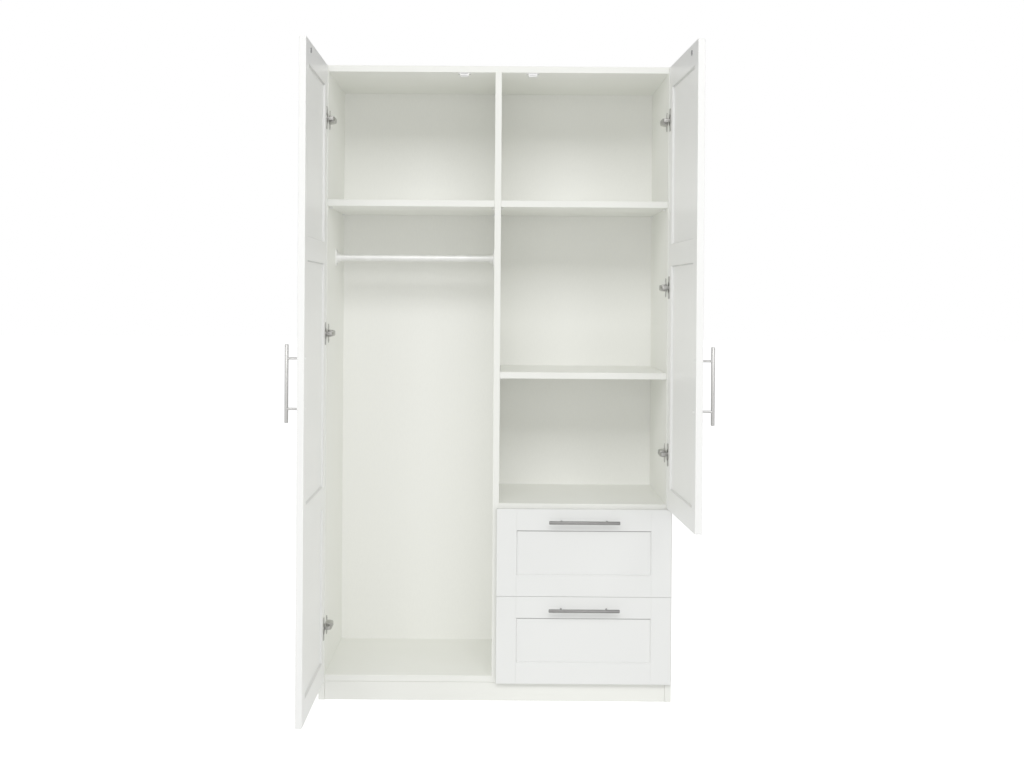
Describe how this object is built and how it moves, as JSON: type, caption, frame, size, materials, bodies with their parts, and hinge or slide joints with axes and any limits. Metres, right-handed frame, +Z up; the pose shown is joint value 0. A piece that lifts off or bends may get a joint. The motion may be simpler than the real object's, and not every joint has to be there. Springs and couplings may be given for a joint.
{
  "type": "wardrobe with doors",
  "caption": "White wardrobe with a hanging space, shelves, framed doors on concealed hinges and drawers on roller runners.",
  "frame": {"origin": "on the floor at the centre of the carcass's footprint, under the centre support's glide", "axes": "+X to the right as seen from the front, +Y to the back, +Z up; doors and drawers open towards -Y"},
  "size_m": [1.089, 0.9715, 1.8],
  "materials": {
    "board_white": "satin white foil on particle board",
    "back_white": "matt white hardboard",
    "door_white": "satin white foil on fibreboard",
    "door_panel_white": "satin white foil on fibreboard",
    "drawer_board_white": "matt white foil on particle board",
    "handle_nickel": "brushed nickel",
    "hinge_nickel": "nickel plate",
    "rail_chrome": "satin chrome",
    "screw_zinc": "bright zinc",
    "runner_white": "white epoxy powder coat",
    "roller_plastic": "natural nylon",
    "catch_plastic": "white plastic",
    "glide_plastic": "light grey plastic"
  },
  "bodies": {
    "carcass": {"left_side_panel": "board_white", "right_side_panel": "board_white", "centre_divider": "board_white", "top_panel": "board_white", "bottom_panel": "board_white", "drawer_deck": "board_white", "upper_shelves": "board_white", "middle_shelf": "board_white", "plinth_boards": "board_white", "centre_support": "board_white", "left_back_panel": "back_white", "right_back_panel": "back_white", "hinge_plates": "hinge_nickel", "hinge_arms": "hinge_nickel", "hanging_rail": "rail_chrome", "rail_brackets": "rail_chrome", "carcass_screws": "screw_zinc", "cam_locks": "screw_zinc", "cabinet_runners": "runner_white", "magnetic_catches": "catch_plastic", "shelf_pins": "catch_plastic", "floor_glides": "glide_plastic"},
    "left_door": {"left_door_stiles": "door_white", "left_door_rails": "door_white", "left_door_panels": "door_panel_white", "left_door_hinge_cups": "hinge_nickel", "left_door_hinge_pins": "hinge_nickel", "left_door_screws": "screw_zinc", "left_door_handle": "handle_nickel", "left_door_strike": "screw_zinc"},
    "right_door": {"right_door_stiles": "door_white", "right_door_rails": "door_white", "right_door_panels": "door_panel_white", "right_door_hinge_cups": "hinge_nickel", "right_door_hinge_pins": "hinge_nickel", "right_door_screws": "screw_zinc", "right_door_handle": "handle_nickel", "right_door_strike": "screw_zinc"},
    "upper_drawer": {"upper_drawer_front_stiles": "door_white", "upper_drawer_front_rails": "door_white", "upper_drawer_front_panel": "door_panel_white", "upper_drawer_sides": "drawer_board_white", "upper_drawer_back": "drawer_board_white", "upper_drawer_bottom": "back_white", "upper_drawer_runners": "runner_white", "upper_drawer_handle": "handle_nickel", "upper_drawer_screws": "screw_zinc"},
    "lower_drawer": {"lower_drawer_front_stiles": "door_white", "lower_drawer_front_rails": "door_white", "lower_drawer_front_panel": "door_panel_white", "lower_drawer_sides": "drawer_board_white", "lower_drawer_back": "drawer_board_white", "lower_drawer_bottom": "back_white", "lower_drawer_runners": "runner_white", "lower_drawer_handle": "handle_nickel", "lower_drawer_screws": "screw_zinc"},
    "upper_front_roller_pair": {"upper_front_rollers": "roller_plastic"},
    "upper_rear_roller_pair": {"upper_rear_rollers": "roller_plastic"},
    "lower_front_roller_pair": {"lower_front_rollers": "roller_plastic"},
    "lower_rear_roller_pair": {"lower_rear_rollers": "roller_plastic"}
  },
  "joints": [
    {"name": "left_door_hinge", "type": "hinge", "parent": "carcass", "child": "left_door", "pos_m": [-0.49, -0.2465, 0.9275], "axis": [0, 0, -1], "range_deg": [-90, 10]},
    {"name": "right_door_hinge", "type": "hinge", "parent": "carcass", "child": "right_door", "pos_m": [0.49, -0.2465, 1.1765], "axis": [0, 0, 1], "range_deg": [-92, 8]},
    {"name": "upper_drawer_slide", "type": "slide", "parent": "carcass", "child": "upper_drawer", "axis": [0, -1, 0], "range_m": [0, 0.3]},
    {"name": "lower_drawer_slide", "type": "slide", "parent": "carcass", "child": "lower_drawer", "axis": [0, -1, 0], "range_m": [0, 0.3]},
    {"name": "upper_front_roller_spin", "type": "hinge", "parent": "carcass", "child": "upper_front_roller_pair", "pos_m": [0, -0.222, 0.3432], "axis": [1, 0, 0], "range_deg": [-10, 1730]},
    {"name": "upper_rear_roller_spin", "type": "hinge", "parent": "upper_drawer", "child": "upper_rear_roller_pair", "pos_m": [0, 0.165, 0.3432], "axis": [1, 0, 0], "range_deg": [-10, 2030]},
    {"name": "lower_front_roller_spin", "type": "hinge", "parent": "carcass", "child": "lower_front_roller_pair", "pos_m": [0, -0.222, 0.0962], "axis": [1, 0, 0], "range_deg": [-10, 1730]},
    {"name": "lower_rear_roller_spin", "type": "hinge", "parent": "lower_drawer", "child": "lower_rear_roller_pair", "pos_m": [0, 0.165, 0.0962], "axis": [1, 0, 0], "range_deg": [-10, 2030]}
  ],
  "couplings": [
    {"joint": "upper_front_roller_spin", "follows": "upper_drawer_slide", "rad_per_m": 100},
    {"joint": "upper_rear_roller_spin", "follows": "upper_drawer_slide", "rad_per_m": 117.65},
    {"joint": "lower_front_roller_spin", "follows": "lower_drawer_slide", "rad_per_m": 100},
    {"joint": "lower_rear_roller_spin", "follows": "lower_drawer_slide", "rad_per_m": 117.65}
  ]
}
